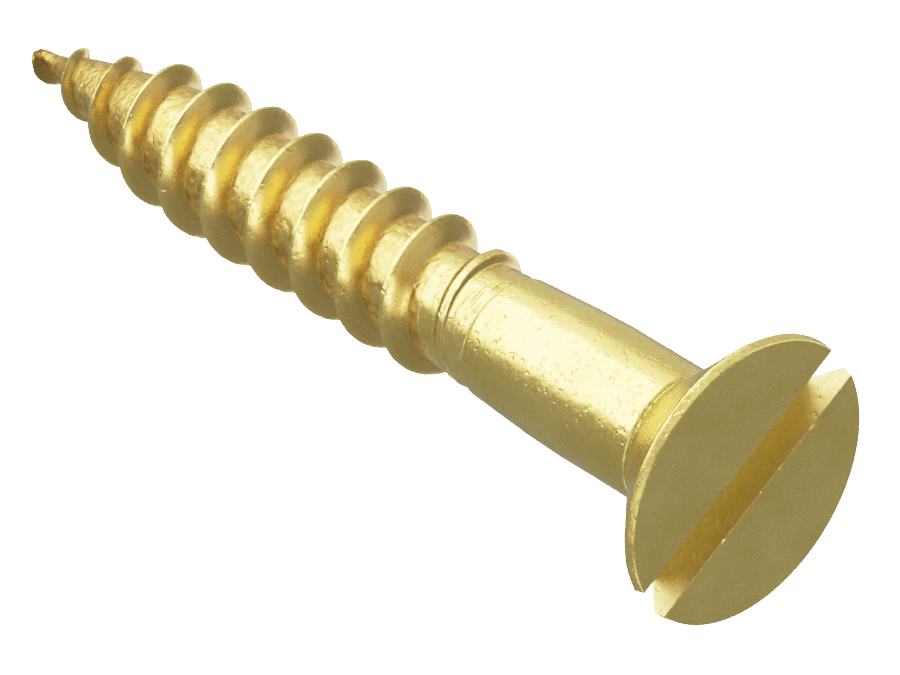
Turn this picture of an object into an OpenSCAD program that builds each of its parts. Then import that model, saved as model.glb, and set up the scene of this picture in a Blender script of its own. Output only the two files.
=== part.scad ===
// Slotted countersunk wood screw, one solid piece of brass with a right-hand thread.
// The origin is the centre of the head's flat face, +Z points out of the head, the slot
// runs along X and the point is at Z = -overall_length.

/* [Overall] */
// Length from the flat face of the head to the point
overall_length = 30.8; // [24:0.1:60]
// Length of plain metal from the flat face down to the first groove of the thread
plain_length = 9.9; // [8:0.1:14]

/* [Head] */
// Diameter of the flat face of the head
head_diameter = 9.0; // [7.2:0.1:11]
// Height of the straight rim round the flat face
rim_height = 0.45; // [0.2:0.05:0.7]
// Included angle of the countersink cone under the rim
countersink_angle = 90; // [80:1:100]
// Radius of the fillet between the countersink cone and the shank
neck_fillet = 0.3; // [0.2:0.05:1]

/* [Driver slot] */
// Width of the slot across the head
slot_width = 1.45; // [0.9:0.05:1.8]
// Depth of the slot below the flat face
slot_depth = 1.2; // [0.7:0.05:1.6]

/* [Shank] */
// Diameter of the straight shank under the head
shank_diameter = 4.3; // [3.6:0.05:5.2]
// Length of the straight shank below the neck fillet
straight_length = 3.2; // [1:0.1:4.5]
// Diameter to which the shank narrows where the thread begins
waist_diameter = 3.9; // [3.4:0.05:4.7]

/* [Thread] */
// Outside diameter over the thread crests
thread_diameter = 4.83; // [4:0.01:6]
// Diameter of the core between the threads
core_diameter = 3.46; // [2.6:0.01:4]
// Distance from one crest to the next, 13 threads to the inch
thread_pitch = 1.954; // [1.5:0.001:2.5]
// Included angle of the thread's two flanks
flank_angle = 60; // [40:1:70]
// Width of the narrow flat along the crest
crest_width = 0.12; // [0.02:0.01:0.15]
// Turns over which the thread dies away towards the shank
runout_turns = 1.4; // [1:0.1:2]

/* [Gimlet point] */
// Length over which the thread and its core grow from the point to full size
point_length = 7.2; // [5:0.1:10]
// Diameter of the blunt end of the point
point_diameter = 0.3; // [0.2:0.05:0.6]
// Share of its full depth with which the thread starts at the point
point_thread_share = 0.45; // [0.2:0.05:0.8]
// Angle from the slot at which the crest leaves the point
thread_start_angle = 85; // [0:1:359]

/* [Hidden] */
$fn = 96;

brass = "#b59a4c";
head_radius = head_diameter / 2;
shank_radius = shank_diameter / 2;
waist_radius = waist_diameter / 2;
crest_radius = thread_diameter / 2;
core_radius = core_diameter / 2;
point_radius = point_diameter / 2;

// The countersink cone runs down from the rim until it would meet the shank
half_cone = countersink_angle / 2;
cone_end = rim_height + (head_radius - shank_radius) / tan(half_cone);
// The fillet touches the cone above that corner and the shank the same distance below it
fillet_reach = neck_fillet * tan(half_cone / 2);
straight_start = cone_end + fillet_reach;
straight_end = straight_start + straight_length;
fillet_steps = 6;

// The thread's core stands back from the waist by this much, which leaves a small shoulder
shoulder_step = 0.08;
shoulder_radius = waist_radius - shoulder_step;
// The core runs on into the shank by this much, so that the two are one solid
core_overlap = 0.4;
// How far the slot's cutter passes the head on every open side
cutter_margin = 1;

// Heights from here on are measured up from the point
shoulder_height = overall_length - plain_length;
core_top = shoulder_height + core_overlap;
runout_height = runout_turns * thread_pitch;
full_depth = crest_radius - core_radius;
turn_steps = 36;

// Share from 0 to 1 of the way from a to b
function share(a, b, x) = min(1, max(0, (x - a) / (b - a)));

// Radius of the core: a rounded cone at the point, then straight, then rising to the shoulder
function core_at(h) =
    let (grown = point_radius + (core_radius - point_radius) * sin(90 * share(0, point_length, h)))
    let (rise = share(shoulder_height - runout_height, shoulder_height, h))
    grown + (shoulder_radius - core_radius) * rise * rise;

// Height of the thread over its core: it leaves the point within half a turn, deepens along
// the point, and dies away over the last turns under the shank
function depth_at(h) =
    let (leaving = share(0, thread_pitch / 2, h))
    let (deepening = point_thread_share + (1 - point_thread_share) * share(0, point_length, h))
    let (left = share(shoulder_height, shoulder_height - runout_height, h))
    full_depth * leaving * deepening * (1 - (1 - left) * (1 - left));

// The thread is a strip wound round the axis. Each step of the strip has five points up its
// section: mid groove, foot, the crest's two edges, and foot again.
first_crest = -0.55 * thread_pitch;
step_count = ceil(turn_steps * ((core_top - first_crest) / thread_pitch + 0.55));
function crest_height(i) = first_crest + thread_pitch * i / turn_steps;
function step_angle(i) = thread_start_angle + 360 * (i / turn_steps + first_crest / thread_pitch);
function flank_width(i) = depth_at(crest_height(i)) * tan(flank_angle / 2);
function offset_at(i, j) = [
    -thread_pitch / 2,
    -crest_width / 2 - flank_width(i),
    -crest_width / 2,
    crest_width / 2,
    crest_width / 2 + flank_width(i)
][j];
function height_at(i, j) = crest_height(i) + offset_at(i, j);
function radius_at(i, j) =
    let (h = height_at(i, j))
    core_at(h) + (j == 2 || j == 3 ? depth_at(crest_height(i)) : 0);
function round_point(i, r, h) = [r * cos(step_angle(i)), r * sin(step_angle(i)), h];

// Points below the blunt end or above the top of the core move onto one of two rings
end_ring = [for (i = [0 : turn_steps - 1]) round_point(i, core_at(0), 0)];
top_ring = [for (i = [0 : turn_steps - 1]) round_point(i, core_at(core_top), core_top)];
strip = [
    for (i = [0 : step_count])
        for (j = [0 : 4])
            round_point(i, radius_at(i, j), height_at(i, j))
];
function strip_index(i, j) =
    j == 5 ? next_turn_index(i) :
    height_at(i, j) <= 0 ? i % turn_steps :
    height_at(i, j) >= core_top ? turn_steps + i % turn_steps :
    2 * turn_steps + 5 * i + j;
function next_turn_index(i) =
    i + turn_steps > step_count ? turn_steps + i % turn_steps : strip_index(i + turn_steps, 0);
function is_face(f) = f[0] != f[1] && f[1] != f[2] && f[2] != f[0];
strip_faces = [
    for (i = [0 : step_count - 1])
        for (j = [0 : 4])
            let (a = strip_index(i, j))
            let (b = strip_index(i + 1, j))
            let (c = strip_index(i + 1, j + 1))
            let (d = strip_index(i, j + 1))
            for (f = [[a, d, c], [a, c, b]])
                if (is_face(f)) f
];
end_cap = [for (i = [0 : turn_steps - 1]) i];
top_cap = [for (i = [turn_steps - 1 : -1 : 0]) turn_steps + i];

// Half section of the head and the plain shank, from the flat face down to the waist
fillet_centre = shank_radius + neck_fillet;
fillet_arc = [
    for (k = [0 : fillet_steps])
        let (turn = (90 - half_cone) * (1 - k / fillet_steps))
        [fillet_centre - neck_fillet * cos(turn), neck_fillet * sin(turn) - straight_start]
];
blank_section = concat(
    [[0, 0], [head_radius, 0], [head_radius, -rim_height]],
    fillet_arc,
    [[shank_radius, -straight_end], [waist_radius, -plain_length], [0, -plain_length]]
);

module head_and_shank() {
    rotate_extrude()
        polygon(blank_section);
}

module driver_slot() {
    translate([-head_radius - cutter_margin, -slot_width / 2, -slot_depth])
        cube([head_diameter + 2 * cutter_margin, slot_width, slot_depth + cutter_margin]);
}

module threaded_point() {
    translate([0, 0, -overall_length])
        polyhedron(
            points = concat(end_ring, top_ring, strip),
            faces = concat(strip_faces, [end_cap], [top_cap]),
            convexity = 10
        );
}

// The whole screw is one piece of metal: the head is upset from the wire, the slot is cut
// across it and the thread is formed on the other end
module wood_screw() {
    color(brass)
        union() {
            difference() {
                head_and_shank();
                driver_slot();
            }
            threaded_point();
        }
}

wood_screw();
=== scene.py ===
"""A slotted countersunk wood screw in brass, laid out as a Blender add-on and run as a script."""

import math

import bpy
from mathutils import Matrix, Vector


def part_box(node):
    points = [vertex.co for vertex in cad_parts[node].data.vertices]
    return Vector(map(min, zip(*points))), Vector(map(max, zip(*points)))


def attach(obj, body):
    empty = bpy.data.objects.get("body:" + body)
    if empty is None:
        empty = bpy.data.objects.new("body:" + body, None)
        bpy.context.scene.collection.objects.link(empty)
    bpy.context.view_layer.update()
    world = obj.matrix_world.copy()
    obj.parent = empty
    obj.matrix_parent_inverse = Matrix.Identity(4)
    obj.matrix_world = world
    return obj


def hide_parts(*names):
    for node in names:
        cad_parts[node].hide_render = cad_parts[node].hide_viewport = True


bl_info = {
    "name": "Brass Wood Screw",
    "version": (1, 0, 0),
    "blender": (4, 5, 0),
    "location": "View3D > Sidebar > Screw",
    "description": "Makes a slotted countersunk brass wood screw and the table it is shown on",
    "category": "Add Mesh",
}

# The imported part: the screw's solid sets the outside sizes below
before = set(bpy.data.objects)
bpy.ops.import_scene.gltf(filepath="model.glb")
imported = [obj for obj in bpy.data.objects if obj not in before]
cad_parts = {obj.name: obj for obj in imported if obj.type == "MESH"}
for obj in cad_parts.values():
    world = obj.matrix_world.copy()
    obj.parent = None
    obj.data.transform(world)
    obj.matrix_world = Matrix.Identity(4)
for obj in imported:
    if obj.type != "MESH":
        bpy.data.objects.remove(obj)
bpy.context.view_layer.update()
screw_low, screw_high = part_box("wood_screw")
# Blender works in metres, and the sizes here are written in millimetres
MM = 0.001


def linear_colour(hex_colour):
    """A colour written as sRGB hex, as the linear RGBA that shaders take."""
    channels = [int(hex_colour[i : i + 2], 16) / 255 for i in (1, 3, 5)]
    linear = [c / 12.92 if c <= 0.04045 else ((c + 0.055) / 1.055) ** 2.4 for c in channels]
    return (*linear, 1.0)


def add_node(tree, kind, inputs=None, **settings):
    """Adds one node, sets it up, and fills or links its inputs.

    An input's value is a constant, another node (its first output is used), or an output socket."""
    node = tree.nodes.new(kind)
    for name, value in settings.items():
        setattr(node, name, value)
    for key, value in (inputs or {}).items():
        if isinstance(value, bpy.types.Node):
            value = value.outputs[0]
        if isinstance(value, bpy.types.NodeSocket):
            tree.links.new(value, node.inputs[key])
        else:
            node.inputs[key].default_value = value
    return node


def draw_curve(node, points):
    """Lays a Float Curve node's line through the points, which run from left to right."""
    line = node.mapping.curves[0]
    while len(line.points) < len(points):
        line.points.new(0.5, 0.5)
    for point, place in zip(line.points, points):
        point.location = place
        point.handle_type = "AUTO_CLAMPED"
    node.mapping.update()
    return node


# ---------------------------------------------------------------- sizes and finish


class ScrewSizes(bpy.types.PropertyGroup):
    """The screw's own sizes"""

    length: bpy.props.FloatProperty(
        name="Length",
        description="From the flat face of the head to the point",
        default=-screw_low.z,
        unit="LENGTH",
    )
    head_diameter: bpy.props.FloatProperty(
        name="Head Diameter",
        description="Across the flat face of the head",
        default=screw_high.y - screw_low.y,
        unit="LENGTH",
    )
    rim_height: bpy.props.FloatProperty(
        name="Rim Height",
        description="Height of the rim round the flat face",
        default=0.38 * MM,
        unit="LENGTH",
    )
    neck_fillet: bpy.props.FloatProperty(
        name="Neck Fillet",
        description="Radius between the countersink cone and the shank",
        default=0.3 * MM,
        unit="LENGTH",
    )
    shank_diameter: bpy.props.FloatProperty(
        name="Shank Diameter",
        description="Across the straight part of the plain shank",
        default=4.3 * MM,
        unit="LENGTH",
    )
    straight_end: bpy.props.FloatProperty(
        name="Straight End",
        description="Depth below the face at which the shank starts to narrow",
        default=6.2 * MM,
        unit="LENGTH",
    )
    waist_diameter: bpy.props.FloatProperty(
        name="Waist Diameter",
        description="Across the shank where the thread begins",
        default=3.9 * MM,
        unit="LENGTH",
    )
    plain_length: bpy.props.FloatProperty(
        name="Plain Length",
        description="From the flat face down to the first groove of the thread",
        default=9.9 * MM,
        unit="LENGTH",
    )
    slot_width: bpy.props.FloatProperty(
        name="Slot Width",
        description="Width of the driver slot",
        default=1.45 * MM,
        unit="LENGTH",
    )
    slot_depth: bpy.props.FloatProperty(
        name="Slot Depth",
        description="Depth of the driver slot below the face",
        default=1.2 * MM,
        unit="LENGTH",
    )
    thread_diameter: bpy.props.FloatProperty(
        name="Thread Diameter",
        description="Over the thread's crests",
        default=4.83 * MM,
        unit="LENGTH",
    )
    core_diameter: bpy.props.FloatProperty(
        name="Core Diameter",
        description="Across the core between the crests",
        default=3.46 * MM,
        unit="LENGTH",
    )
    thread_pitch: bpy.props.FloatProperty(
        name="Thread Pitch",
        description="From one crest to the next, 13 threads to the inch",
        default=1.954 * MM,
        unit="LENGTH",
    )
    crest_width: bpy.props.FloatProperty(
        name="Crest Width",
        description="Width of the rounded land along the crest",
        default=0.13 * MM,
        unit="LENGTH",
    )
    start_angle: bpy.props.FloatProperty(
        name="Start Angle",
        description="Angle from the slot at which the crest leaves the point",
        default=math.radians(85),
        subtype="ANGLE",
    )


class BrassFinish(bpy.types.PropertyGroup):
    """Colour and surface of the metal"""

    polished: bpy.props.FloatVectorProperty(
        name="Brass",
        description="Colour of the clean metal",
        subtype="COLOR",
        size=4,
        min=0,
        max=1,
        default=linear_colour("#f1da82"),
    )
    dull: bpy.props.FloatVectorProperty(
        name="Dull Brass",
        description="Colour of the metal where it has begun to tarnish",
        subtype="COLOR",
        size=4,
        min=0,
        max=1,
        default=linear_colour("#e2c76a"),
    )
    roughness: bpy.props.FloatProperty(
        name="Roughness",
        description="Roughness of the clean metal",
        default=0.26,
        min=0,
        max=1,
        subtype="FACTOR",
    )
    dent_size: bpy.props.FloatProperty(
        name="Dent Size",
        description="Width of the shallow dents that tumbling in the barrel leaves",
        default=0.45 * MM,
        unit="LENGTH",
    )
    seed: bpy.props.FloatProperty(
        name="Seed", description="Picks another set of dents and nicks", default=3.0
    )


class StageSettings(bpy.types.PropertyGroup):
    """Table, light and camera"""

    azimuth: bpy.props.FloatProperty(
        name="Azimuth",
        description="Angle of the camera round the screw, from +X",
        default=math.radians(100.9),
        subtype="ANGLE",
    )
    elevation: bpy.props.FloatProperty(
        name="Elevation",
        description="Angle of the camera above the face of the head",
        default=math.radians(37.08),
        subtype="ANGLE",
    )
    roll: bpy.props.FloatProperty(
        name="Roll",
        description="Turn of the camera about its own line of sight",
        default=math.radians(121.37),
        subtype="ANGLE",
    )
    distance: bpy.props.FloatProperty(
        name="Distance", description="From the camera to its aim", default=284.1 * MM, unit="LENGTH"
    )
    lens: bpy.props.FloatProperty(
        name="Lens", description="Focal length on a 36 mm film", default=390.2, unit="CAMERA"
    )


# ---------------------------------------------------------------- the screw's shape

# Columns of faces round the screw, and rows of faces to each pitch of the thread
COLUMNS = 180
ROWS_PER_PITCH = 30
HALF_ROWS = ROWS_PER_PITCH // 2
# Rows on each half of the thread's section, from the middle of the crest outwards
CREST_ROWS, FLANK_ROWS = 2, 6
LAND_END = CREST_ROWS / HALF_ROWS
FLANK_END = (CREST_ROWS + FLANK_ROWS) / HALF_ROWS
# Longest step between two rings of the blank, and the same for its flat face
RING_STEP = 0.1 * MM
FACE_STEP = 5 * RING_STEP
FILLET_STEPS = 5
# The turned edge of the shank stands this much proud of the core under it
SHOULDER_STEP = 0.08 * MM
# Unit of the rim's rounding, which bulges by 0.7 of it
RIM_EDGE = 0.05 * MM
# Height of the crest's crown
CROWN = 0.006 * MM
# Width over height of one flank of a 60 degree thread
FLANK_SLOPE = math.tan(math.radians(30))
# The height at which the core meets the blank, just short of 1 for the rounding of numbers
TOP_SHARE = 0.99999
WELD = 0.001 * MM
# Side of the bar that takes the sharpness off each edge of the slot, and its steps along the slot
NICK_BAR = 0.05 * MM
NICK_STEPS = 240

# Curves over the length of the thread, from the point at 0 to the shank at 1:
# the thread's depth as a share of its full depth
THREAD_DEPTH = (
    (0.0, 0.0),
    (0.02, 0.45),
    (0.044, 0.68),
    (0.087, 0.42),
    (0.136, 0.36),
    (0.18, 0.6),
    (0.228, 0.72),
    (0.281, 0.86),
    (0.369, 0.93),
    (0.447, 1.0),
    (0.845, 1.0),
    (0.865, 0.95),
    (0.888, 0.86),
    (0.905, 0.72),
    (0.915, 0.56),
    (0.925, 0.3),
    (0.935, 0.12),
    (0.95, 0.05),
    (0.97, 0.03),
    (1.0, 0.0),
)
# and the core's diameter as a share of the waist's
CORE_WIDTH = (
    (0.0, 0.06),
    (0.01, 0.11),
    (0.039, 0.145),
    (0.097, 0.36),
    (0.194, 0.6),
    (0.291, 0.79),
    (0.389, 0.86),
    (0.486, 0.865),
    (0.855, 0.865),
    (0.9, 0.89),
    (0.935, 0.925),
    (0.97, 0.95),
    (1.0, 0.958),
)
# A flank from the crest to the core: straight, with its two corners eased
FLANK_PROFILE = ((0.0, 0.98), (0.1, 0.91), (0.8, 0.17), (0.93, 0.045), (1.0, 0.0))
# Masks over half a thread's section, from the middle of the crest at 0 to mid groove at 1
ROOT_MASK = ((0.0, 0.0), (0.36, 0.0), (0.53, 1.0), (0.62, 0.35), (0.75, 0.0), (1.0, 0.0))
FLANK_MASK = ((0.0, 0.0), (0.15, 0.0), (0.25, 1.0), (0.48, 1.0), (0.6, 0.0), (1.0, 0.0))
# Rings cut in the metal where the thread dies away, from the shank at 0 towards the point
RING_BAND = (-0.1 * MM, 1.9 * MM)
RING_MASK = ((0.0, 0.0), (0.05, 0.0), (0.12, 1.0), (0.4, 0.8), (0.6, 0.25), (1.0, 0.0))
# Finer rings in the material, from the thread at 0 towards the shank
FINE_RING_MASK = ((0.0, 0.0), (0.3, 0.2), (0.6, 0.8), (0.9, 1.0), (0.95, 0.0), (1.0, 0.0))


def blank_section(sizes):
    """Half section of the plain shank and the head as (radius, height) pairs.

    It runs from the edge of the shank above the thread up to the rim and in to the middle of the
    face, in steps short enough to follow the dents of a tumbled blank."""
    head, shank, waist = (
        across / 2 for across in (sizes.head_diameter, sizes.shank_diameter, sizes.waist_diameter)
    )
    fillet, rim = sizes.neck_fillet, sizes.rim_height
    # The countersink cone is 90 degrees, so it goes down as far as it goes in
    cone_end = rim + head - shank
    fillet_end = cone_end + fillet * math.tan(math.radians(22.5))
    # The edge above the thread is eased, then the shank swells gently to its straight part
    line = [
        (waist - SHOULDER_STEP, -sizes.plain_length),
        (waist - 0.01 * MM, -sizes.plain_length + 0.015 * MM),
        (waist, -sizes.plain_length + 0.05 * MM),
        (shank - 0.05 * MM, -sizes.straight_end - 1.4 * MM),
        (shank, -sizes.straight_end),
    ]
    # A faint tool line runs round the shank below the fillet
    line += [
        (shank, -fillet_end - 0.06 * MM),
        (shank - 0.02 * MM, -fillet_end - 0.03 * MM),
        (shank, -fillet_end),
    ]
    for i in range(1, FILLET_STEPS + 1):
        turn = math.radians(45 * i / FILLET_STEPS)
        line.append(
            (shank + fillet * (1 - math.cos(turn)), -fillet_end + fillet * math.sin(turn))
        )
    # The rim is slightly barrelled, with rounded edges
    line += [
        (head, -rim - 0.8 * RIM_EDGE),
        (head + 0.7 * RIM_EDGE, -rim + 0.2 * RIM_EDGE),
        (head + 0.7 * RIM_EDGE, -rim + 1.2 * RIM_EDGE),
        (head - 0.5 * RIM_EDGE, -0.3 * RIM_EDGE),
        (head - 0.8 * RIM_EDGE, 0),
        (head - 8 * RIM_EDGE, 0),
        (0, 0),
    ]
    rings = [line[0]]
    for (r0, z0), (r1, z1) in zip(line, line[1:]):
        # The face is flat, so its rings can lie further apart
        pace = FACE_STEP if z0 == z1 == 0 else RING_STEP
        parts = max(1, round(math.hypot(r1 - r0, z1 - z0) / pace))
        rings += [
            (r0 + (r1 - r0) * k / parts, z0 + (z1 - z0) * k / parts) for k in range(1, parts + 1)
        ]
    return rings


def turned_blank(tree, given, place, row_share, angle, row_count):
    """Nodes of the plain shank and the head: each row of a grid takes one point of the section."""
    row = add_node(tree, "ShaderNodeMath", {0: row_share, 1: row_count - 1}, operation="MULTIPLY")
    row_number = add_node(tree, "ShaderNodeMath", {0: row}, operation="ROUND")
    section_point = add_node(
        tree,
        "GeometryNodeSampleIndex",
        {0: given["Section"], "Value": place, "Index": row_number},
        data_type="FLOAT_VECTOR",
    )
    round_blank = add_node(
        tree,
        "ShaderNodeVectorRotate",
        {"Vector": section_point, "Axis": (0, 0, 1), "Angle": angle},
        rotation_type="AXIS_ANGLE",
    )
    blank_grid = add_node(
        tree,
        "GeometryNodeMeshGrid",
        {"Size X": 1, "Size Y": 1, "Vertices X": COLUMNS + 1, "Vertices Y": row_count},
    )
    return add_node(tree, "GeometryNodeSetPosition", {0: blank_grid, "Position": round_blank})


def thread_masks(tree, away, crest_share, depth_share):
    """Masks that the marks of the making and the metal's material read, by name."""
    at_crest = add_node(
        tree,
        "ShaderNodeMapRange",
        {"Value": away, "From Min": LAND_END, "From Max": LAND_END * 1.8, "To Min": 1, "To Max": 0},
    )
    at_root = draw_curve(add_node(tree, "ShaderNodeFloatCurve", {"Value": away}), ROOT_MASK)
    on_core = add_node(
        tree,
        "ShaderNodeMapRange",
        {
            "Value": away,
            "From Min": FLANK_END,
            "From Max": FLANK_END + 0.12,
            "To Min": 0,
            "To Max": 1,
        },
    )
    # The root's mask grows with the thread's depth, for the painted shade in the root
    shaded_root = add_node(
        tree, "ShaderNodeMath", {0: at_root, 1: depth_share}, operation="MULTIPLY"
    )
    flank_mask = draw_curve(add_node(tree, "ShaderNodeFloatCurve", {"Value": away}), FLANK_MASK)
    # The core's own marks end where the shank's rings begin
    thread_left = add_node(
        tree,
        "ShaderNodeMapRange",
        {"Value": crest_share, "From Min": 0.9, "From Max": 0.95, "To Min": 1, "To Max": 0},
    )
    marked_core = add_node(
        tree, "ShaderNodeMath", {0: on_core, 1: thread_left}, operation="MULTIPLY"
    )
    return {"crest": at_crest, "flank": flank_mask, "root": shaded_root, "core": marked_core}


def rolled_thread(tree, given, turn, row_share, angle, thread_turns):
    """Nodes of the threaded end: rows climb one pitch a turn, so each row meets the next turn."""
    pitch = given["Thread Pitch"]
    top = add_node(
        tree, "ShaderNodeMath", {0: given["Length"], 1: given["Plain Length"]}, operation="SUBTRACT"
    )
    rows_up = add_node(
        tree, "ShaderNodeMath", {0: row_share, 1: thread_turns}, operation="MULTIPLY"
    )
    whole = add_node(tree, "ShaderNodeMath", {0: rows_up}, operation="FLOOR")
    part = add_node(tree, "ShaderNodeMath", {0: rows_up, 1: whole}, operation="SUBTRACT")
    wound = add_node(tree, "ShaderNodeMath", {0: whole, 1: turn}, operation="ADD")
    from_point = add_node(tree, "ShaderNodeMath", {0: wound, 1: -1.0}, operation="ADD")
    crest_height = add_node(tree, "ShaderNodeMath", {0: from_point, 1: pitch}, operation="MULTIPLY")
    crest_share = add_node(tree, "ShaderNodeMath", {0: crest_height, 1: top}, operation="DIVIDE")
    full_depth = add_node(
        tree,
        "ShaderNodeMath",
        {0: given["Thread Diameter"], 1: given["Core Diameter"]},
        operation="SUBTRACT",
    )
    # The depth is half the difference of the two diameters, times the share at this height
    depth_share = draw_curve(
        add_node(tree, "ShaderNodeFloatCurve", {"Value": crest_share}), THREAD_DEPTH
    )
    half_depth = add_node(
        tree, "ShaderNodeMath", {0: full_depth, 1: depth_share}, operation="MULTIPLY"
    )
    depth = add_node(tree, "ShaderNodeMath", {0: half_depth, 1: 0.5}, operation="MULTIPLY")

    # Rows run over the half section of one thread: land, flank and groove, 0 at the crest
    signed = add_node(tree, "ShaderNodeMath", {0: part, 1: 2.0, 2: -1.0}, operation="MULTIPLY_ADD")
    side = add_node(tree, "ShaderNodeMath", {0: signed}, operation="SIGN")
    away = add_node(tree, "ShaderNodeMath", {0: signed}, operation="ABSOLUTE")
    # The land widens where the thread dies away under the shank
    land_share = add_node(
        tree,
        "ShaderNodeMapRange",
        {"Value": crest_share, "From Min": 0.84, "From Max": 0.93, "To Min": 0.5, "To Max": 1.1},
        interpolation_type="SMOOTHSTEP",
    )
    half_land = add_node(
        tree, "ShaderNodeMath", {0: given["Crest Width"], 1: land_share}, operation="MULTIPLY"
    )
    land = add_node(
        tree,
        "ShaderNodeMapRange",
        {"Value": away, "From Min": 0, "From Max": LAND_END, "To Min": 0, "To Max": half_land},
    )
    # A 60 degree thread, whose flanks flatten out where it dies away
    flank_run = add_node(
        tree,
        "ShaderNodeMapRange",
        {
            "Value": crest_share,
            "From Min": 0.9,
            "From Max": 0.94,
            "To Min": FLANK_SLOPE,
            "To Max": 2.4 * FLANK_SLOPE,
        },
        interpolation_type="SMOOTHSTEP",
    )
    flank_width = add_node(
        tree, "ShaderNodeMath", {0: depth, 1: flank_run}, operation="MULTIPLY"
    )
    on_flank = add_node(
        tree,
        "ShaderNodeMapRange",
        {"Value": away, "From Min": LAND_END, "From Max": FLANK_END, "To Min": 0, "To Max": 1},
    )
    foot = add_node(tree, "ShaderNodeMath", {0: half_land, 1: flank_width}, operation="ADD")
    half_pitch = add_node(tree, "ShaderNodeMath", {0: pitch, 1: 0.5}, operation="MULTIPLY")
    groove_width = add_node(
        tree, "ShaderNodeMath", {0: half_pitch, 1: foot}, operation="SUBTRACT"
    )
    groove = add_node(
        tree,
        "ShaderNodeMapRange",
        {"Value": away, "From Min": FLANK_END, "From Max": 1, "To Min": 0, "To Max": groove_width},
    )
    to_flank = add_node(
        tree, "ShaderNodeMath", {0: on_flank, 1: flank_width, 2: land}, operation="MULTIPLY_ADD"
    )
    offset = add_node(tree, "ShaderNodeMath", {0: to_flank, 1: groove}, operation="ADD")
    height_free = add_node(
        tree, "ShaderNodeMath", {0: offset, 1: side, 2: crest_height}, operation="MULTIPLY_ADD"
    )
    height = add_node(
        tree, "ShaderNodeClamp", {"Value": height_free, "Min": 0.0, "Max": top}
    )
    rise = draw_curve(add_node(tree, "ShaderNodeFloatCurve", {"Value": on_flank}), FLANK_PROFILE)
    crown = add_node(
        tree,
        "ShaderNodeMapRange",
        {"Value": away, "From Min": 0, "From Max": LAND_END, "To Min": CROWN, "To Max": 0.0},
    )
    height_share = add_node(tree, "ShaderNodeMath", {0: height, 1: top}, operation="DIVIDE")
    core_share = draw_curve(
        add_node(tree, "ShaderNodeFloatCurve", {"Value": height_share}), CORE_WIDTH
    )
    twice = add_node(
        tree, "ShaderNodeMath", {0: core_share, 1: given["Waist Diameter"]}, operation="MULTIPLY"
    )
    core = add_node(tree, "ShaderNodeMath", {0: twice, 1: 0.5}, operation="MULTIPLY")
    # The last row of the core is the first ring of the blank
    at_top = add_node(
        tree, "ShaderNodeMath", {0: height_share, 1: TOP_SHARE}, operation="GREATER_THAN"
    )
    shoulder = add_node(
        tree,
        "ShaderNodeMath",
        {0: given["Waist Diameter"], 1: 0.5, 2: -SHOULDER_STEP},
        operation="MULTIPLY_ADD",
    )
    crowned = add_node(
        tree, "ShaderNodeMath", {0: crown, 1: depth_share, 2: core}, operation="MULTIPLY_ADD"
    )
    threaded = add_node(
        tree, "ShaderNodeMath", {0: rise, 1: depth, 2: crowned}, operation="MULTIPLY_ADD"
    )
    radius = add_node(
        tree, "ShaderNodeMix", {0: at_top, 2: threaded, 3: shoulder}, data_type="FLOAT"
    )
    # Rows that would lie past the point all meet in it
    above = add_node(tree, "ShaderNodeMath", {0: height, 1: 0.0}, operation="GREATER_THAN")
    closed = add_node(tree, "ShaderNodeMath", {0: radius, 1: above}, operation="MULTIPLY")
    level = add_node(
        tree, "ShaderNodeMath", {0: height, 1: given["Length"]}, operation="SUBTRACT"
    )
    flat_place = add_node(tree, "ShaderNodeCombineXYZ", {"X": closed, "Y": 0.0, "Z": level})
    round_place = add_node(
        tree,
        "ShaderNodeVectorRotate",
        {"Vector": flat_place, "Axis": (0, 0, 1), "Angle": angle},
        rotation_type="AXIS_ANGLE",
    )
    grid = add_node(
        tree,
        "GeometryNodeMeshGrid",
        {
            "Size X": 1,
            "Size Y": 1,
            "Vertices X": COLUMNS + 1,
            "Vertices Y": ROWS_PER_PITCH * thread_turns + 1,
        },
    )
    # The masks are taken while the grid is still flat
    for name, mask in thread_masks(tree, away, crest_share, depth_share).items():
        grid = add_node(
            tree,
            "GeometryNodeStoreNamedAttribute",
            {0: grid, "Name": name, "Value": mask},
            data_type="FLOAT",
            domain="POINT",
        )
    return add_node(tree, "GeometryNodeSetPosition", {0: grid, "Position": round_place})


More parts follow.
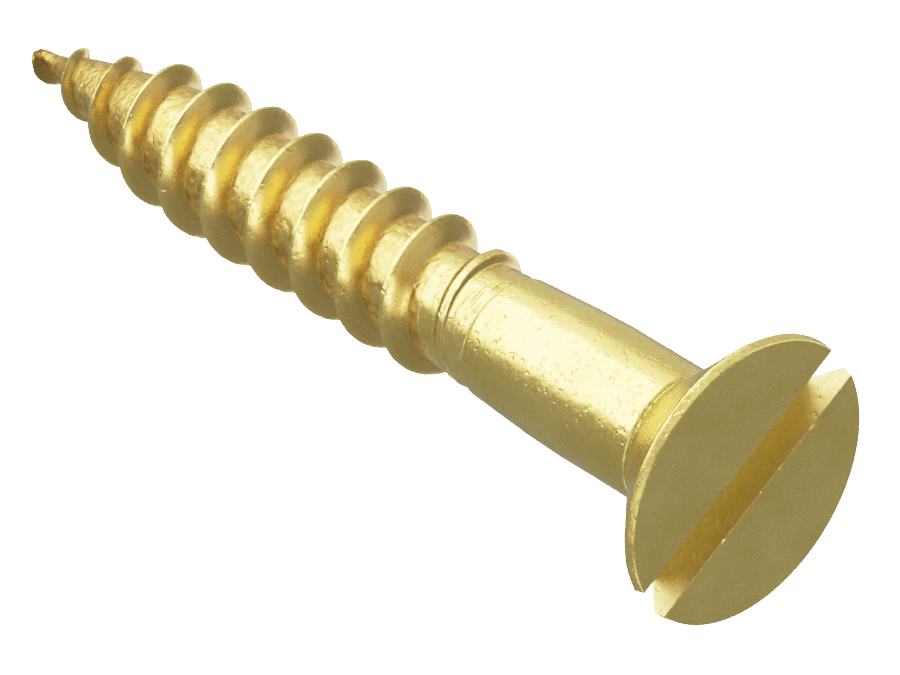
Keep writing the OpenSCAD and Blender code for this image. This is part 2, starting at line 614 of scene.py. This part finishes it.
def with_marks(tree, given, metal, place, spot):
    """Nodes that put the marks of the making on the metal, each a push along its normal."""
    normal = add_node(tree, "GeometryNodeInputNormal")
    at = add_node(tree, "ShaderNodeSeparateXYZ", {0: place})
    deep = add_node(tree, "ShaderNodeMath", {0: at.outputs[2], 1: -1.0}, operation="MULTIPLY")
    below_face = add_node(
        tree,
        "ShaderNodeMapRange",
        {"Value": deep, "From Min": 0.01 * MM, "From Max": 0.15 * MM, "To Min": 0, "To Max": 1},
    )
    on_rim = add_node(
        tree,
        "ShaderNodeMapRange",
        {"Value": deep, "From Min": 0.6 * MM, "From Max": 0.4 * MM, "To Min": 0, "To Max": 1},
    )
    past_edge = add_node(
        tree, "ShaderNodeMath", {0: deep, 1: given["Plain Length"]}, operation="SUBTRACT"
    )
    in_band = add_node(
        tree,
        "ShaderNodeMapRange",
        {
            "Value": past_edge,
            "From Min": RING_BAND[0],
            "From Max": RING_BAND[1],
            "To Min": 0,
            "To Max": 1,
        },
    )
    on_rings = draw_curve(add_node(tree, "ShaderNodeFloatCurve", {"Value": in_band}), RING_MASK)
    crest_mask, core_mask = (
        add_node(tree, "GeometryNodeInputNamedAttribute", {"Name": name}, data_type="FLOAT")
        for name in ("crest", "core")
    )
    # Ring lines are nearly square to the axis, so their noise hardly changes round the screw
    ring_place = add_node(
        tree, "ShaderNodeVectorMath", {0: spot, 1: (0.12, 0.12, 1.0)}, operation="MULTIPLY"
    )
    burr_place = add_node(
        tree, "ShaderNodeVectorMath", {0: spot, 1: (1.0, 1.0, 0.35)}, operation="MULTIPLY"
    )
    push = None
    # Where its noise is read, width and height of the mark, and its mask: dents all over, wrinkles
    # on the core, nicks on the crest, rings where the thread ends, and burrs on the rim
    for where, width, height, mask in (
        (spot, 0.9 * MM, 0.02 * MM, below_face),
        (spot, 0.4 * MM, 0.03 * MM, core_mask),
        (spot, 0.35 * MM, 0.04 * MM, crest_mask),
        (ring_place, 0.13 * MM, 0.085 * MM, on_rings),
        (burr_place, 0.22 * MM, 0.05 * MM, on_rim),
    ):
        noise = add_node(
            tree, "ShaderNodeTexNoise", {"Vector": where, "Scale": 1 / width, "Detail": 1.5}
        )
        centred = add_node(
            tree, "ShaderNodeMath", {0: noise, 1: height, 2: -height / 2}, operation="MULTIPLY_ADD"
        )
        masked = add_node(tree, "ShaderNodeMath", {0: centred, 1: mask}, operation="MULTIPLY")
        push = add_node(tree, "ShaderNodeMath", {0: masked, 1: push or 0.0}, operation="ADD")
    # The face was turned flat last, so nothing moves it
    off_face = add_node(
        tree, "ShaderNodeMath", {0: push, 1: below_face}, operation="MULTIPLY"
    )
    moved = add_node(
        tree, "ShaderNodeVectorMath", {0: normal, "Scale": off_face}, operation="SCALE"
    )
    return add_node(tree, "GeometryNodeSetPosition", {0: metal, "Offset": moved})


def with_slot(tree, given, metal, place, spot):
    """Nodes that saw the driver slot right across the head, open at both ends."""
    cutter_length = add_node(
        tree, "ShaderNodeMath", {0: given["Head Diameter"], 1: 1.3}, operation="MULTIPLY"
    )
    # The cutter is centred on the face, so it is twice as high as the slot is deep
    cutter_height = add_node(
        tree, "ShaderNodeMath", {0: given["Slot Depth"], 1: 2.0}, operation="MULTIPLY"
    )
    cutter_size = add_node(
        tree,
        "ShaderNodeCombineXYZ",
        {"X": cutter_length, "Y": given["Slot Width"], "Z": cutter_height},
    )
    cutter = add_node(tree, "GeometryNodeMeshCube", {0: cutter_size})
    cut = add_node(
        tree,
        "GeometryNodeMeshBoolean",
        {"Mesh 1": metal},
        operation="DIFFERENCE",
        solver="MANIFOLD",
    )
    tree.links.new(cutter.outputs[0], cut.inputs["Mesh 2"])
    # A wavering bar along each edge takes the sharpness off and leaves a few nicks
    bar_size = add_node(
        tree, "ShaderNodeCombineXYZ", {"X": cutter_length, "Y": NICK_BAR, "Z": NICK_BAR}
    )
    for side in (-0.5, 0.5):
        bar = add_node(tree, "GeometryNodeMeshCube", {0: bar_size, "Vertices X": NICK_STEPS})
        waver = add_node(
            tree,
            "ShaderNodeTexNoise",
            {"Vector": spot, "Scale": 1 / (0.3 * MM), "Detail": 2.0},
        )
        nick = add_node(
            tree,
            "ShaderNodeMapRange",
            {"Value": waver, "From Min": 0.6, "From Max": 0.8, "To Min": 0.6, "To Max": 2.2},
        )
        width = add_node(tree, "ShaderNodeCombineXYZ", {"X": 1.0, "Y": nick, "Z": nick})
        wavered = add_node(
            tree, "ShaderNodeVectorMath", {0: place, 1: width}, operation="MULTIPLY"
        )
        wavy = add_node(tree, "GeometryNodeSetPosition", {0: bar, "Position": wavered})
        edge = add_node(
            tree, "ShaderNodeMath", {0: given["Slot Width"], 1: side}, operation="MULTIPLY"
        )
        there = add_node(tree, "ShaderNodeCombineXYZ", {"X": 0.0, "Y": edge, "Z": 0.0})
        placed = add_node(
            tree,
            "GeometryNodeTransform",
            {0: wavy, "Translation": there, "Rotation": (math.radians(45), 0, 0)},
        )
        tree.links.new(placed.outputs[0], cut.inputs["Mesh 2"])
    return cut


def screw_tree(row_count, thread_turns):
    """Geometry Nodes tree that turns the blank, winds the thread and cuts the slot."""
    tree = bpy.data.node_groups.new("Wood Screw", "GeometryNodeTree")
    tree.is_modifier = True
    face = tree.interface
    face.new_socket("Section", in_out="INPUT", socket_type="NodeSocketGeometry")
    for name in (
        "Length",
        "Plain Length",
        "Head Diameter",
        "Waist Diameter",
        "Slot Width",
        "Slot Depth",
        "Thread Diameter",
        "Core Diameter",
        "Thread Pitch",
        "Crest Width",
    ):
        face.new_socket(name, in_out="INPUT", socket_type="NodeSocketFloat").subtype = "DISTANCE"
    face.new_socket("Start Angle", in_out="INPUT", socket_type="NodeSocketFloat").subtype = "ANGLE"
    face.new_socket("Seed", in_out="INPUT", socket_type="NodeSocketFloat")
    face.new_socket("Brass", in_out="INPUT", socket_type="NodeSocketMaterial")
    face.new_socket("Screw", in_out="OUTPUT", socket_type="NodeSocketGeometry")
    given = tree.nodes.new("NodeGroupInput").outputs
    out = tree.nodes.new("NodeGroupOutput")

    # A grid one unit square: across it lies one turn round the axis, up it lie the rows
    place = add_node(tree, "GeometryNodeInputPosition")
    on_grid = add_node(tree, "ShaderNodeSeparateXYZ", {0: place})
    turn = add_node(tree, "ShaderNodeMath", {0: on_grid.outputs[0], 1: 0.5}, operation="ADD")
    row_share = add_node(tree, "ShaderNodeMath", {0: on_grid.outputs[1], 1: 0.5}, operation="ADD")
    angle = add_node(
        tree,
        "ShaderNodeMath",
        {0: turn, 1: math.tau, 2: given["Start Angle"]},
        operation="MULTIPLY_ADD",
    )

    blank = turned_blank(tree, given, place, row_share, angle, row_count)
    thread = rolled_thread(tree, given, turn, row_share, angle, thread_turns)
    both = add_node(tree, "GeometryNodeJoinGeometry")
    tree.links.new(thread.outputs[0], both.inputs[0])
    tree.links.new(blank.outputs[0], both.inputs[0])
    welded = add_node(tree, "GeometryNodeMergeByDistance", {0: both, "Distance": WELD})

    # The seed moves the place at which every noise is read
    seeded = add_node(tree, "ShaderNodeCombineXYZ", {"X": given["Seed"], "Y": 0.0, "Z": 0.0})
    spot = add_node(tree, "ShaderNodeVectorMath", {0: place, 1: seeded}, operation="ADD")
    worked = with_marks(tree, given, welded, place, spot)
    cut = with_slot(tree, given, worked, place, spot)
    whole_screw = add_node(tree, "GeometryNodeRealizeInstances", {0: cut.outputs[0]})
    smooth = add_node(tree, "GeometryNodeSetShadeSmooth", {0: whole_screw})
    finished = add_node(
        tree, "GeometryNodeSetMaterial", {0: smooth, "Material": given["Brass"]}
    )
    tree.links.new(finished.outputs[0], out.inputs[0])
    return tree


def set_inputs(modifier, values):
    """Sets a Geometry Nodes modifier's inputs by the identifiers of their sockets."""
    sockets = {
        item.name: item.identifier
        for item in modifier.node_group.interface.items_tree
        if item.in_out == "INPUT"
    }
    for name, value in values.items():
        modifier[sockets[name]] = value


def plain_mesh(thing, name):
    """The evaluated object as a plain mesh in a new object of that name; the old one is removed."""
    bpy.context.view_layer.update()
    evaluated = thing.evaluated_get(bpy.context.evaluated_depsgraph_get())
    mesh = bpy.data.meshes.new_from_object(evaluated)
    thing.modifiers.clear()
    bpy.data.objects.remove(thing)
    mesh.name = name
    piece = bpy.data.objects.new(name, mesh)
    bpy.context.scene.collection.objects.link(piece)
    return piece


# ---------------------------------------------------------------- the metal

# How far past its true size the slot's mask reaches, so that it takes in the walls and the floor
MASK_MARGIN, MASK_FLOOR = 0.004 * MM, 0.01 * MM


def metal_noises(tree, here, finish):
    """The metal's patterns by name, each drawn at the width of the real mark.

    The satin grain and the fine rings are only hundredths of a millimetre wide on the real metal,
    so they are drawn as coarse as they need to show."""
    # The rings lie nearly square to the axis, so their noise hardly changes round the screw
    along = add_node(
        tree, "ShaderNodeVectorMath", {0: here, 1: (0.1, 0.1, 1.0)}, operation="MULTIPLY"
    )
    return {
        name: add_node(
            tree,
            "ShaderNodeTexNoise",
            {"Vector": where, "Scale": 1 / width, "Detail": detail, "Roughness": breakup},
        )
        for name, where, width, detail, breakup in (
            ("dents", here, finish.dent_size, 2.0, 0.5),
            ("grain", here, 0.12 * MM, 2.0, 0.5),
            ("clouds", here, 2.2 * MM, 4.0, 0.6),
            ("blotches", here, 0.28 * MM, 2.0, 0.6),
            ("pits", here, 0.2 * MM, 1.0, 0.5),
            ("wrinkles", here, 0.32 * MM, 1.0, 0.5),
            ("rings", along, 0.11 * MM, 1.0, 0.5),
        )
    }


def brass_colour(tree, noise, mask, at, sizes, finish):
    """Nodes of the metal's colour: clean, tarnished and pitted, with painted shade in the thread's
    hollows and root, darker towards the point, and the sawn slot painted paler, partly as painted
    light.
    """
    tarnish = add_node(
        tree,
        "ShaderNodeMapRange",
        {"Value": noise["clouds"], "From Min": 0.35, "From Max": 0.7, "To Min": 0.0, "To Max": 0.8},
    )
    # Painted shade: the flanks and, less, the core, the hollows of the thread, are painted a darker
    # warm brass
    on_thread = add_node(
        tree,
        "ShaderNodeMath",
        {0: mask["core"], 1: 0.6, 2: mask["flank"]},
        operation="MULTIPLY_ADD",
    )
    painted_hollow_shade = add_node(
        tree, "ShaderNodeMath", {0: on_thread, 1: 0.85}, operation="MULTIPLY", use_clamp=True
    )
    # The rolled core is blotchy, and pits outside the slot hold a little polish and dirt
    blotched = add_node(
        tree,
        "ShaderNodeMapRange",
        {
            "Value": noise["blotches"],
            "From Min": 0.42,
            "From Max": 0.6,
            "To Min": 0.0,
            "To Max": 0.66,
        },
    )
    on_core = add_node(tree, "ShaderNodeMath", {0: blotched, 1: mask["core"]}, operation="MULTIPLY")
    pitted = add_node(
        tree,
        "ShaderNodeMapRange",
        {"Value": noise["pits"], "From Min": 0.62, "From Max": 0.74, "To Min": 0.0, "To Max": 0.22},
    )
    uncut = add_node(tree, "ShaderNodeMath", {0: 1.0, 1: mask["slot"]}, operation="SUBTRACT")
    old_pits = add_node(tree, "ShaderNodeMath", {0: pitted, 1: uncut}, operation="MULTIPLY")
    soiled = add_node(tree, "ShaderNodeMath", {0: on_core, 1: old_pits}, operation="MAXIMUM")
    # Painted shade darkens the root of the thread, the more the deeper the thread is, and the
    # colour darkens towards the point
    at_point = add_node(
        tree,
        "ShaderNodeMapRange",
        {
            "Value": at.outputs[2],
            "From Min": -sizes.length + 1.3 * MM,
            "From Max": -sizes.length + 0.5 * MM,
            "To Min": 0.0,
            "To Max": 0.8,
        },
    )
    root_shade_and_dark_point = add_node(
        tree, "ShaderNodeMath", {0: mask["root"], 1: 0.2, 2: at_point}, operation="MULTIPLY_ADD"
    )
    # Each layer lies over those before it. The saw's cut is painted a little paler, partly fresh
    # metal and partly painted light that lifts the shade in the slot
    colour = tuple(finish.polished)
    for share, over in (
        (tarnish, tuple(finish.dull)),
        # The slot, paler: partly fresh metal, partly painted light
        (mask["slot"], linear_colour("#ebd88e")),
        # Painted shade of the thread's hollows
        (painted_hollow_shade, linear_colour("#d3b569")),
        (soiled, linear_colour("#bb9450")),
        # Painted shade in the root of the thread, and a darker point
        (root_shade_and_dark_point, linear_colour("#9a7438")),
    ):
        layer = add_node(tree, "ShaderNodeMix", {0: share, 6: colour, 7: over}, data_type="RGBA")
        colour = layer.outputs[2]
    return colour


def brass_roughness(tree, noise, mask, finish):
    """Nodes of the roughness: satin, a little rougher on the core and most in the sawn slot."""
    satin = add_node(
        tree,
        "ShaderNodeMapRange",
        {
            "Value": noise["grain"],
            "From Min": 0.3,
            "From Max": 0.7,
            "To Min": finish.roughness - 0.04,
            "To Max": finish.roughness + 0.06,
        },
    )
    rolled = add_node(
        tree, "ShaderNodeMath", {0: mask["core"], 1: 0.08, 2: satin}, operation="MULTIPLY_ADD"
    )
    return add_node(
        tree, "ShaderNodeMath", {0: mask["slot"], 1: 0.22, 2: rolled}, operation="MULTIPLY_ADD"
    )


def brass_relief(tree, noise, mask, at, sizes):
    """Nodes of the marks too fine for the mesh, as one bump."""
    pits = add_node(
        tree,
        "ShaderNodeMapRange",
        {"Value": noise["pits"], "From Min": 0.6, "From Max": 0.75, "To Min": 0, "To Max": -0.01},
    )
    # Fine rings lie in the same band as those of the mesh
    edge = -sizes.plain_length
    in_band = add_node(
        tree,
        "ShaderNodeMapRange",
        {
            "Value": at.outputs[2],
            "From Min": edge - RING_BAND[1],
            "From Max": edge - RING_BAND[0],
            "To Min": 0,
            "To Max": 1,
        },
    )
    on_rings = draw_curve(
        add_node(tree, "ShaderNodeFloatCurve", {"Value": in_band}), FINE_RING_MASK
    )
    ring_height = add_node(tree, "ShaderNodeMath", {0: on_rings, 1: 0.04}, operation="MULTIPLY")
    wrinkle_height = add_node(
        tree, "ShaderNodeMath", {0: mask["core"], 1: 0.032}, operation="MULTIPLY"
    )
    # Each mark's height is in millimetres and rides on the sum of those before it
    relief = None
    for mark, height in (
        (noise["dents"], 0.018),
        (noise["grain"], 0.002),
        (pits, 1.0),
        (noise["wrinkles"], wrinkle_height),
        (noise["rings"], ring_height),
    ):
        relief = add_node(
            tree, "ShaderNodeMath", {0: mark, 1: height, 2: relief or 0.0}, operation="MULTIPLY_ADD"
        )
    # The flanks were burnished by the die and are smoother
    burnish = add_node(
        tree, "ShaderNodeMath", {0: mask["flank"], 1: -0.8, 2: 1.0}, operation="MULTIPLY_ADD"
    )
    return add_node(
        tree, "ShaderNodeBump", {"Height": relief, "Strength": burnish, "Distance": MM}
    )


def tumbled_brass(finish, sizes):
    """Yellow brass, CZ108 or the like: headed, turned, thread-cut, then tumbled clean in a barrel.

    The eye gets a warm satin metal with soft dents, fine pits and a little tarnish, with painted
    shade in the thread and a paler painted slot."""
    material = bpy.data.materials.new("tumbled_brass")
    material.use_nodes = True
    tree = material.node_tree
    tree.nodes.clear()
    here = add_node(tree, "ShaderNodeTexCoord").outputs["Object"]
    at = add_node(tree, "ShaderNodeSeparateXYZ", {0: here})
    mask = {
        name: add_node(tree, "ShaderNodeAttribute", attribute_name=name).outputs["Fac"]
        for name in ("flank", "root", "core")
    }
    # The slot's walls and floor, where the saw leaves the metal rougher and the colour is painted
    # paler
    across = add_node(tree, "ShaderNodeMath", {0: at.outputs[1]}, operation="ABSOLUTE")
    in_width = add_node(
        tree,
        "ShaderNodeMath",
        {0: across, 1: sizes.slot_width / 2 + MASK_MARGIN},
        operation="LESS_THAN",
    )
    in_depth = add_node(
        tree,
        "ShaderNodeMath",
        {0: at.outputs[2], 1: -sizes.slot_depth - MASK_FLOOR},
        operation="GREATER_THAN",
    )
    mask["slot"] = add_node(
        tree, "ShaderNodeMath", {0: in_width, 1: in_depth}, operation="MULTIPLY"
    )
    noise = metal_noises(tree, here, finish)
    metal = add_node(
        tree,
        "ShaderNodeBsdfPrincipled",
        {
            "Base Color": brass_colour(tree, noise, mask, at, sizes, finish),
            "Metallic": 1.0,
            "Roughness": brass_roughness(tree, noise, mask, finish),
            "Normal": brass_relief(tree, noise, mask, at, sizes),
        },
    )
    add_node(tree, "ShaderNodeOutputMaterial", {"Surface": metal})
    return material


def opal_acrylic():
    """Opal acrylic sheet, cast and matt, lit evenly from below as the top of a light table.

    The eye gets a plain pale ground with hardly any shadow."""
    material = bpy.data.materials.new("opal_acrylic")
    material.use_nodes = True
    tree = material.node_tree
    tree.nodes.clear()
    sheet = add_node(
        tree,
        "ShaderNodeBsdfPrincipled",
        {
            "Base Color": linear_colour("#d8d8d6"),
            "Roughness": 0.8,
            "Emission Color": linear_colour("#ffffff"),
            "Emission Strength": 6.0,
        },
    )
    add_node(tree, "ShaderNodeOutputMaterial", {"Surface": sheet})
    return material

# ---------------------------------------------------------------- table, light and camera

# The table in metres: radius of its flat, radius of the sweep at its edge, and height of its wall
TABLE_FLAT, TABLE_SWEEP, TABLE_WALL = 0.6, 0.25, 0.9
TABLE_FACETS = 96
SWEEP_STEP = 10
ROOM_LIGHT = 0.33
# Softboxes, all at one distance from the middle of the screw: azimuth from +X, elevation, half the
# width and half the height as angles seen from the screw, all in degrees, and brightness
SOFTBOX_DISTANCE = 0.5
SOFTBOXES = {
    "key_softbox": (85, -40, 33, 15, 5.0),
    "side_softbox": (33, -37, 16, 18, 1.7),
    "far_softbox": (-15, -37, 24, 18, 0.38),
    "top_softbox": (125, 80, 8, 9, 9.0),
    "fill_softbox": (352, 60, 24, 22, 0.48),
    # Low strips all round give the shank a highlight from every side
    "front_strip": (75, -3, 30, 6, 1.5),
    "left_strip": (150, -6, 26, 6, 1.6),
    "back_strip": (225, -4, 30, 6, 1.6),
    "far_strip": (298, -10, 34, 9, 1.6),
    "right_strip": (5, -4, 30, 6, 1.6),
}
CAMERA_AIM = Vector((-0.869, -0.078, -11.725)) * MM
FILM_WIDTH = 36
# Film-like exposure, from light given to tone shown: straight up to mid tones, then a long soft
# shoulder that ends at the brightest light
BRIGHTEST = 5.0
FILM_CURVE = (
    (0, 0),
    (0.3, 0.31),
    (0.6, 0.57),
    (1.0, 0.74),
    (1.5, 0.84),
    (2.2, 0.92),
    (3.3, 0.965),
    (BRIGHTEST, 1.0),
)


def direction(azimuth, elevation):
    """The unit vector that points out at an azimuth from +X and an elevation, in radians."""
    return Vector(
        (
            math.cos(azimuth) * math.cos(elevation),
            math.sin(azimuth) * math.cos(elevation),
            math.sin(elevation),
        )
    )


def facing(away):
    """The level turn of a lamp or camera whose back points along a vector."""
    return away.to_track_quat("Z", "Y").to_matrix().to_4x4()


def light_table(floor_level):
    """A round table whose edge sweeps up into a wall, so that low views have a plain ground too."""
    outline = []
    for degrees in range(0, 91, SWEEP_STEP):
        turn = math.radians(degrees)
        outline.append(
            (TABLE_FLAT + TABLE_SWEEP * math.sin(turn), TABLE_SWEEP * (1 - math.cos(turn)))
        )
    outline.append((TABLE_FLAT + TABLE_SWEEP, TABLE_WALL))
    points, faces = [(0, 0, floor_level)], []
    for r, h in outline:
        for i in range(TABLE_FACETS):
            turn = math.tau * i / TABLE_FACETS
            points.append((r * math.cos(turn), r * math.sin(turn), h + floor_level))
    for i in range(TABLE_FACETS):
        beside = (i + 1) % TABLE_FACETS
        faces.append((0, 1 + i, 1 + beside))
        for ring in range(len(outline) - 1):
            low = 1 + ring * TABLE_FACETS
            high = low + TABLE_FACETS
            faces.append((low + i, high + i, high + beside, low + beside))
    mesh = bpy.data.meshes.new("light_table")
    mesh.from_pydata(points, [], faces)
    mesh.materials.append(opal_acrylic())
    table = bpy.data.objects.new("light_table", mesh)
    # The table is only a ground to look at: the softboxes alone show in the metal
    table.visible_glossy = False
    table.visible_shadow = False
    return table


def softbox(name, middle):
    """One soft rectangular lamp that faces the middle of the screw."""
    azimuth, elevation, half_wide, half_high, brightness = SOFTBOXES[name]
    lamp = bpy.data.lights.new(name, "AREA")
    lamp.shape = "RECTANGLE"
    lamp.size = 2 * SOFTBOX_DISTANCE * math.tan(math.radians(half_wide))
    lamp.size_y = 2 * SOFTBOX_DISTANCE * math.tan(math.radians(half_high))
    # An area lamp's power is pi times its brightness times its area
    lamp.energy = math.pi * brightness * lamp.size * lamp.size_y
    lamp.color = linear_colour("#fff7f0")[:3]
    away = direction(math.radians(azimuth), math.radians(elevation))
    box = bpy.data.objects.new(name, lamp)
    box.matrix_world = Matrix.Translation(middle + away * SOFTBOX_DISTANCE) @ facing(away)
    box.visible_camera = False
    return box


def studio_camera(settings):
    """The camera: level and aimed at the screw first, then rolled about its line of sight."""
    lens = bpy.data.cameras.new("camera")
    lens.lens, lens.sensor_width = settings.lens, FILM_WIDTH
    lens.clip_start, lens.clip_end = 0.01, 20
    lens.dof.use_dof = False
    camera = bpy.data.objects.new("camera", lens)
    back = direction(settings.azimuth, settings.elevation)
    place = Matrix.Translation(CAMERA_AIM + back * settings.distance)
    camera.matrix_world = place @ facing(back) @ Matrix.Rotation(settings.roll, 4, "Z")
    return camera


def set_film(view):
    """Lays the film curve over the scene's colours."""
    view.view_transform = "Standard"
    view.use_curve_mapping = True
    view.curve_mapping.white_level = (BRIGHTEST, BRIGHTEST, BRIGHTEST)
    line = view.curve_mapping.curves[3]
    while len(line.points) < len(FILM_CURVE):
        line.points.new(0.5, 0.5)
    for point, (given, shown) in zip(line.points, FILM_CURVE):
        point.location = (given / BRIGHTEST, shown)
    view.curve_mapping.update()


# ---------------------------------------------------------------- operators

# The thread's rows start below the point and end above the shank, which takes more turns
SPARE_TURNS = 1.5
# A screw with fewer faces than this has lost its thread or its head
LEAST_FACES = 10000
# The angle past which an edge is shaded sharp, between the easing of the crest and a sawn edge
SHARP_ANGLE = math.radians(42)


class SCREW_OT_make_screw(bpy.types.Operator):
    """Make the brass wood screw: blank, thread and driver slot"""

    bl_idname = "screw.make_screw"
    bl_label = "Make Screw"

    def execute(self, context):
        sizes, finish = context.scene.screw_sizes, context.scene.screw_finish
        line = blank_section(sizes)
        section = bpy.data.meshes.new("blank_section")
        points = [(r, 0, z) for r, z in line]
        section.from_pydata(points, [(i, i + 1) for i in range(len(line) - 1)], [])
        maker = bpy.data.objects.new("screw_maker", section)
        context.scene.collection.objects.link(maker)
        brass = tumbled_brass(finish, sizes)
        threaded = sizes.length - sizes.plain_length
        thread_turns = math.ceil(threaded / sizes.thread_pitch + SPARE_TURNS)
        modifier = maker.modifiers.new("Wood Screw", "NODES")
        modifier.node_group = screw_tree(len(line), thread_turns)
        set_inputs(
            modifier,
            {
                "Length": sizes.length,
                "Plain Length": sizes.plain_length,
                "Head Diameter": sizes.head_diameter,
                "Waist Diameter": sizes.waist_diameter,
                "Slot Width": sizes.slot_width,
                "Slot Depth": sizes.slot_depth,
                "Thread Diameter": sizes.thread_diameter,
                "Core Diameter": sizes.core_diameter,
                "Thread Pitch": sizes.thread_pitch,
                "Crest Width": sizes.crest_width,
                "Start Angle": sizes.start_angle,
                "Seed": finish.seed,
                "Brass": brass,
            },
        )
        screw = plain_mesh(maker, "brass_screw")
        if len(screw.data.polygons) < LEAST_FACES:
            raise RuntimeError("the screw's mesh came out empty or broken")
        screw.data.set_sharp_from_angle(angle=SHARP_ANGLE)
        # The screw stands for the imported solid, and moves with its only body
        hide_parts("wood_screw")
        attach(screw, "root")
        return {"FINISHED"}


class SCREW_OT_make_stage(bpy.types.Operator):
    """Make the table, the soft light and the camera"""

    bl_idname = "screw.make_stage"
    bl_label = "Make Stage"

    def execute(self, context):
        scene = context.scene
        length = scene.screw_sizes.length
        table = light_table(-length)
        scene.collection.objects.link(table)

        scene.world = bpy.data.worlds.new("studio")
        scene.world.use_nodes = True
        room = scene.world.node_tree.nodes["Background"].inputs
        room["Color"].default_value = (ROOM_LIGHT, ROOM_LIGHT, ROOM_LIGHT, 1)
        room["Strength"].default_value = 1.0

        for name in SOFTBOXES:
            scene.collection.objects.link(softbox(name, Vector((0, 0, -length / 2))))
        scene.camera = studio_camera(scene.screw_stage)
        scene.collection.objects.link(scene.camera)
        set_film(scene.view_settings)
        return {"FINISHED"}


class SCREW_PT_panel(bpy.types.Panel):
    """Sizes, finish and stage of the screw"""

    bl_idname = "SCREW_PT_panel"
    bl_label = "Wood Screw"
    bl_space_type = "VIEW_3D"
    bl_region_type = "UI"
    bl_category = "Screw"

    def draw(self, context):
        for group in (
            context.scene.screw_sizes,
            context.scene.screw_finish,
            context.scene.screw_stage,
        ):
            box = self.layout.box()
            for name in group.__annotations__:
                box.prop(group, name)
        for operator in (SCREW_OT_make_screw, SCREW_OT_make_stage):
            self.layout.operator(operator.bl_idname)


CLASSES = (
    ScrewSizes,
    BrassFinish,
    StageSettings,
    SCREW_OT_make_screw,
    SCREW_OT_make_stage,
    SCREW_PT_panel,
)


def register():
    for each in CLASSES:
        bpy.utils.register_class(each)
    bpy.types.Scene.screw_sizes = bpy.props.PointerProperty(type=ScrewSizes)
    bpy.types.Scene.screw_finish = bpy.props.PointerProperty(type=BrassFinish)
    bpy.types.Scene.screw_stage = bpy.props.PointerProperty(type=StageSettings)


def unregister():
    del bpy.types.Scene.screw_stage
    del bpy.types.Scene.screw_finish
    del bpy.types.Scene.screw_sizes
    for each in reversed(CLASSES):
        bpy.utils.unregister_class(each)


def main():
    register()
    bpy.ops.screw.make_screw()
    bpy.ops.screw.make_stage()


if __name__ == "__main__":
    main()
